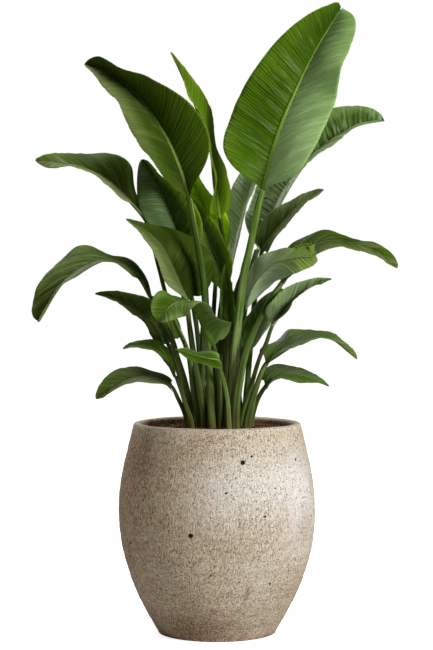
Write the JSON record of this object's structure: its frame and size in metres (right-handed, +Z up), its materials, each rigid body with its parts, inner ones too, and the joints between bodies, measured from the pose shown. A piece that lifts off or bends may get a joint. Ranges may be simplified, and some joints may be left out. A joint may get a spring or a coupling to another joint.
{
  "type": "potted bird of paradise",
  "caption": "Bird of paradise house plant: paddle-shaped leaves on a clump of tall stalks, standing in soil in a bellied stoneware pot.",
  "frame": {"origin": "centre of the pot's flat base, on the surface it stands on", "axes": "+Z up along the pot's axis, +X to the right seen from the front, -Y towards the front that the picture shows"},
  "size_m": [0.7175, 0.4405, 1.2523],
  "materials": {
    "stoneware": "unglazed, rough, speckled with dark grains and thrown rings",
    "soil": "loose dark crumbs of bark and peat",
    "leaf": "waxy, softly glossy, veined",
    "stalk": "smooth, satin"
  },
  "bodies": {
    "root": {"pot": "stoneware", "soil": "soil", "leaf_01_stalk": "stalk", "leaf_01_blade": "leaf", "leaf_02_stalk": "stalk", "leaf_02_blade": "leaf", "leaf_03_stalk": "stalk", "leaf_03_blade": "leaf", "leaf_04_stalk": "stalk", "leaf_04_blade": "leaf", "leaf_05_stalk": "stalk", "leaf_05_blade": "leaf", "leaf_06_stalk": "stalk", "leaf_06_blade": "leaf", "leaf_07_stalk": "stalk", "leaf_07_blade": "leaf", "leaf_08_stalk": "stalk", "leaf_08_blade": "leaf", "leaf_09_stalk": "stalk", "leaf_09_blade": "leaf", "leaf_10_stalk": "stalk", "leaf_10_blade": "leaf", "leaf_11_stalk": "stalk", "leaf_11_blade": "leaf", "leaf_12_stalk": "stalk", "leaf_12_blade": "leaf", "leaf_13_stalk": "stalk", "leaf_13_blade": "leaf", "leaf_14_stalk": "stalk", "leaf_14_blade": "leaf", "leaf_15_stalk": "stalk", "leaf_15_blade": "leaf", "leaf_16_stalk": "stalk", "leaf_16_blade": "leaf", "leaf_17_stalk": "stalk", "leaf_17_blade": "leaf", "leaf_18_stalk": "stalk", "leaf_18_blade": "leaf", "leaf_19_stalk": "stalk", "leaf_19_blade": "leaf", "leaf_20_stalk": "stalk", "leaf_20_blade": "leaf", "leaf_21_stalk": "stalk", "leaf_21_blade": "leaf", "leaf_22_stalk": "stalk", "leaf_22_blade": "leaf", "leaf_23_stalk": "stalk", "leaf_23_blade": "leaf", "leaf_24_stalk": "stalk", "leaf_24_blade": "leaf", "leaf_25_stalk": "stalk", "leaf_25_blade": "leaf", "spear_1": "leaf", "spear_2": "leaf", "spear_3": "leaf", "spear_4": "leaf"}
  },
  "joints": []
}
